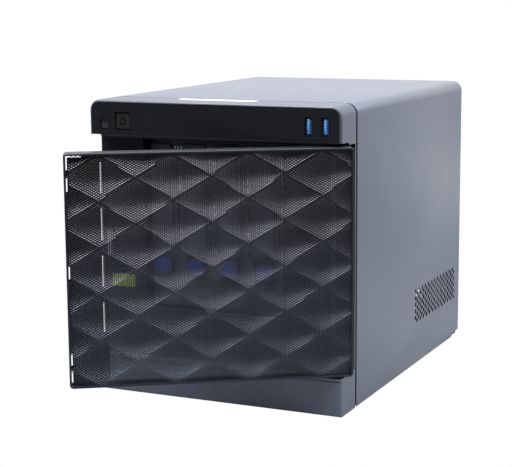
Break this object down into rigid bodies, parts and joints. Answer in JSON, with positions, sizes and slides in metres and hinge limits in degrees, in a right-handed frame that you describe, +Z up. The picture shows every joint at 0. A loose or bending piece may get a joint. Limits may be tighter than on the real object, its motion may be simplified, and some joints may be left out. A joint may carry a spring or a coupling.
{
  "type": "network attached storage",
  "caption": "Desktop network storage box with a side-hinged mesh front door, upright drive trays behind it, front buttons and USB sockets, and a rear fan, ports and mains inlet.",
  "frame": {"origin": "on the floor, under the middle of the whole object's bounding box with the door ajar as pictured", "axes": "+X to the right seen from the front, +Y towards the back of the case, +Z up"},
  "size_m": [0.2136, 0.3954, 0.23],
  "materials": {
    "cover_paint": "satin blue-grey paint",
    "bezel_plastic": "satin dark blue-grey",
    "panel_gloss": "piano black",
    "light_pipe": "milky white diffuser",
    "button_plastic": "satin black",
    "steel": "plated steel",
    "black_steel": "black paint",
    "usb_blue": "moulded blue",
    "circuit_board": "green solder mask",
    "tray_plastic": "moulded grey",
    "latch_blue": "moulded blue",
    "drive_metal": "machined and bare",
    "black_plastic": "moulded black",
    "aluminium": "extruded and bare",
    "rubber": "matt black",
    "filter_mesh": "black dust filter cloth"
  },
  "bodies": {
    "chassis": {"outer_cover": "cover_paint", "front_bezel": "bezel_plastic", "control_panel": "panel_gloss", "light_bar": "light_pipe", "usb_port_1": "steel", "usb_port_2": "steel", "hinge_pin_bottom": "steel", "hinge_pin_top": "steel", "door_catch": "steel", "io_shield": "steel", "ethernet_port_1": "steel", "ethernet_port_2": "steel", "rear_usb_ports": "steel", "display_port": "steel", "power_supply": "steel", "fan_grille": "steel", "slot_cover": "steel", "cover_screw_1": "steel", "cover_screw_2": "steel", "cover_screw_3": "steel", "base_pan": "black_steel", "front_plate": "black_steel", "rear_panel": "black_steel", "drive_cage": "black_steel", "bay_divider_1": "black_steel", "bay_divider_2": "black_steel", "bay_divider_3": "black_steel", "usb_tongue_1": "usb_blue", "usb_tongue_2": "usb_blue", "front_io_board": "circuit_board", "backplane": "circuit_board", "motherboard": "circuit_board", "memory_module": "circuit_board", "mains_inlet": "black_plastic", "fan_frame": "black_plastic", "cpu_cooler": "aluminium", "foot_1": "rubber", "foot_2": "rubber", "foot_3": "rubber", "foot_4": "rubber"},
    "door": {"door_frame": "bezel_plastic", "door_mesh": "black_steel", "door_stile": "bezel_plastic", "door_filter": "filter_mesh", "door_magnet": "steel"},
    "tray_1": {"drive_tray_1": "tray_plastic", "hard_drive_1": "drive_metal"},
    "latch_1": {"tray_latch_1": "latch_blue"},
    "tray_2": {"drive_tray_2": "tray_plastic", "hard_drive_2": "drive_metal"},
    "latch_2": {"tray_latch_2": "latch_blue"},
    "tray_3": {"drive_tray_3": "tray_plastic", "hard_drive_3": "drive_metal"},
    "latch_3": {"tray_latch_3": "latch_blue"},
    "tray_4": {"drive_tray_4": "tray_plastic", "hard_drive_4": "drive_metal"},
    "latch_4": {"tray_latch_4": "latch_blue"},
    "power_key": {"power_button": "button_plastic"},
    "reset_key": {"reset_button": "button_plastic"},
    "rotor": {"fan_rotor": "black_plastic"}
  },
  "joints": [
    {"name": "door_hinge", "type": "hinge", "parent": "chassis", "child": "door", "pos_m": [0.09273, -0.07601, 0.11715], "axis": [0, 0, 1], "range_deg": [-32.75, 72.25]},
    {"name": "tray_slide_1", "type": "slide", "parent": "chassis", "child": "tray_1", "axis": [0, -1, 0], "range_m": [0, 0.1]},
    {"name": "latch_press_1", "type": "slide", "parent": "tray_1", "child": "latch_1", "axis": [0, 1, 0], "range_m": [0, 0.002], "stiffness_N_per_m": 250},
    {"name": "tray_slide_2", "type": "slide", "parent": "chassis", "child": "tray_2", "axis": [0, -1, 0], "range_m": [0, 0.084]},
    {"name": "latch_press_2", "type": "slide", "parent": "tray_2", "child": "latch_2", "axis": [0, 1, 0], "range_m": [0, 0.002], "stiffness_N_per_m": 250},
    {"name": "tray_slide_3", "type": "slide", "parent": "chassis", "child": "tray_3", "axis": [0, -1, 0], "range_m": [0, 0.066]},
    {"name": "latch_press_3", "type": "slide", "parent": "tray_3", "child": "latch_3", "axis": [0, 1, 0], "range_m": [0, 0.002], "stiffness_N_per_m": 250},
    {"name": "tray_slide_4", "type": "slide", "parent": "chassis", "child": "tray_4", "axis": [0, -1, 0], "range_m": [0, 0.048]},
    {"name": "latch_press_4", "type": "slide", "parent": "tray_4", "child": "latch_4", "axis": [0, 1, 0], "range_m": [0, 0.002], "stiffness_N_per_m": 250},
    {"name": "power_press", "type": "slide", "parent": "chassis", "child": "power_key", "axis": [0, 1, 0], "range_m": [0, 0.0015], "stiffness_N_per_m": 300},
    {"name": "reset_press", "type": "slide", "parent": "chassis", "child": "reset_key", "axis": [0, 1, 0], "range_m": [0, 0.0015], "stiffness_N_per_m": 300},
    {"name": "fan_spin", "type": "hinge", "parent": "chassis", "child": "rotor", "pos_m": [-0.01257, 0.1781, 0.13], "axis": [0, 1, 0], "continuous": true}
  ]
}
